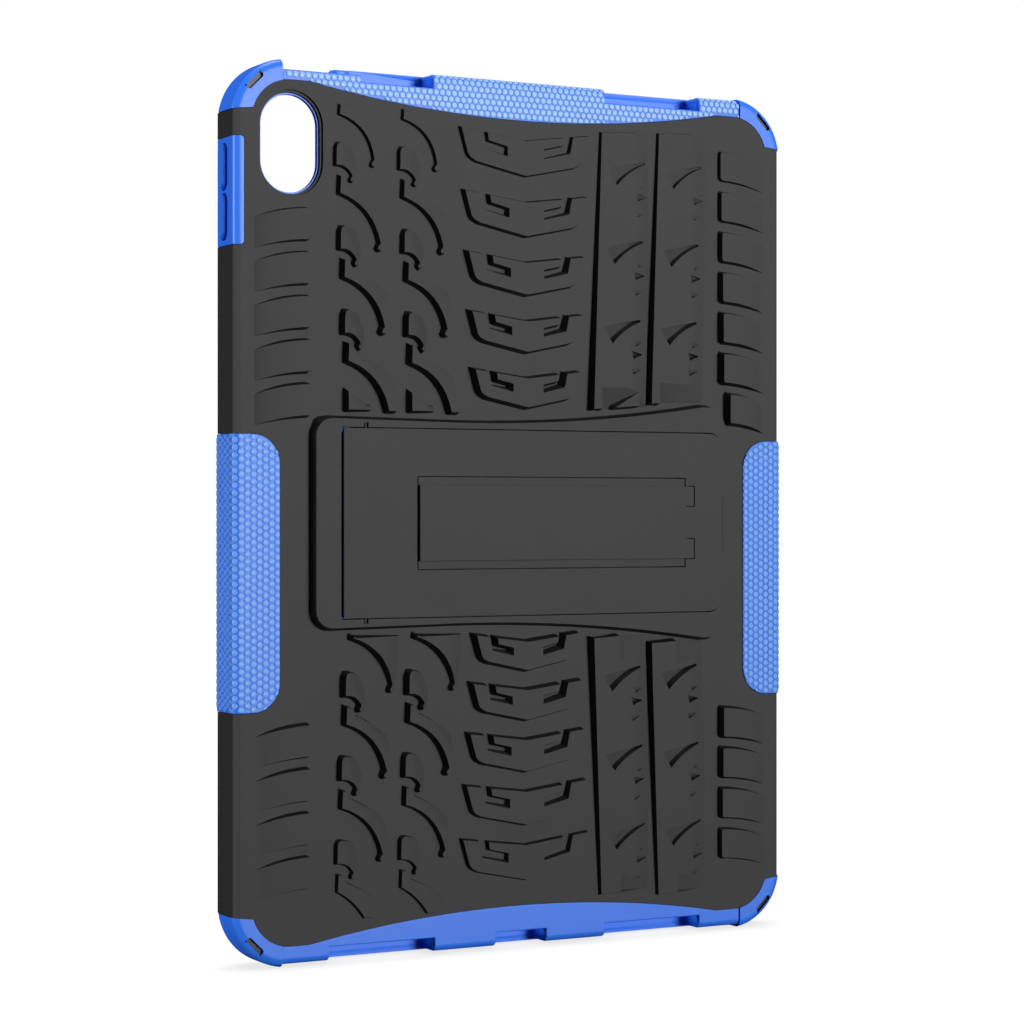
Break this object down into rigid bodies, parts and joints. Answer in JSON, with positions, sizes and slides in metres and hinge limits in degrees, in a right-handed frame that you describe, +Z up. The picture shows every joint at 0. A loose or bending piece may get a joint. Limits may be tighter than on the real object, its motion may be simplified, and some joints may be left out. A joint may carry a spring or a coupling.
{
  "type": "tablet case",
  "caption": "Rugged two-layer tablet case: hard tread-pattern back shell over a soft sleeve, with a fold-out stand, prop strut, soft corner bumpers, grips and button pads.",
  "frame": {"origin": "centre of the lowest points of the bottom bumpers, under the middle of the case; the case stands upright in portrait", "axes": "+Z up along the case's height, +X to the right as seen from behind, -Y out of the tread face, +Y out of the screen side"},
  "size_m": [0.1871, 0.0182, 0.2591],
  "materials": {
    "hard_shell": "black hard plastic, fine satin grain, dark wall shading",
    "soft_sleeve": "bright blue soft rubber, satin, hex domes on the bands and grips",
    "pin_steel": "plain drawn steel"
  },
  "bodies": {
    "case": {"outer_shell": "hard_shell", "inner_sleeve": "soft_sleeve", "top_band": "soft_sleeve", "bottom_band": "soft_sleeve", "corner_bumper_top_left": "soft_sleeve", "corner_bumper_top_right": "soft_sleeve", "corner_bumper_bottom_left": "soft_sleeve", "corner_bumper_bottom_right": "soft_sleeve", "side_grip_left": "soft_sleeve", "side_grip_right": "soft_sleeve", "volume_block": "soft_sleeve"},
    "stand": {"kickstand_plate": "hard_shell", "stand_hinge_pin_upper": "pin_steel", "stand_hinge_pin_lower": "pin_steel", "strut_hinge_pin": "pin_steel"},
    "strut": {"kickstand_strut": "hard_shell"},
    "volume_up": {"volume_up_button": "soft_sleeve"},
    "volume_down": {"volume_down_button": "soft_sleeve"},
    "power": {"power_button": "soft_sleeve"}
  },
  "joints": [
    {"name": "stand_hinge", "type": "hinge", "parent": "case", "child": "stand", "pos_m": [-0.05285, -0.0059, 0.12664], "axis": [0, 0, -1], "range_deg": [0, 45]},
    {"name": "strut_hinge", "type": "hinge", "parent": "stand", "child": "strut", "pos_m": [0.05595, -0.0067, 0.12664], "axis": [0, 0, -1], "range_deg": [0, 10]},
    {"name": "volume_up_press", "type": "slide", "parent": "case", "child": "volume_up", "axis": [1, 0, 0], "range_m": [0, 0.0005], "stiffness_N_per_m": 2000, "springref_m": -0.0003},
    {"name": "volume_down_press", "type": "slide", "parent": "case", "child": "volume_down", "axis": [1, 0, 0], "range_m": [0, 0.0005], "stiffness_N_per_m": 2000, "springref_m": -0.0003},
    {"name": "power_press", "type": "slide", "parent": "case", "child": "power", "axis": [0, 0, -1], "range_m": [0, 0.0005], "stiffness_N_per_m": 2000, "springref_m": -0.0003}
  ],
  "couplings": [
    {"joint": "strut_hinge", "follows": "stand_hinge", "ratio": 0.22}
  ]
}
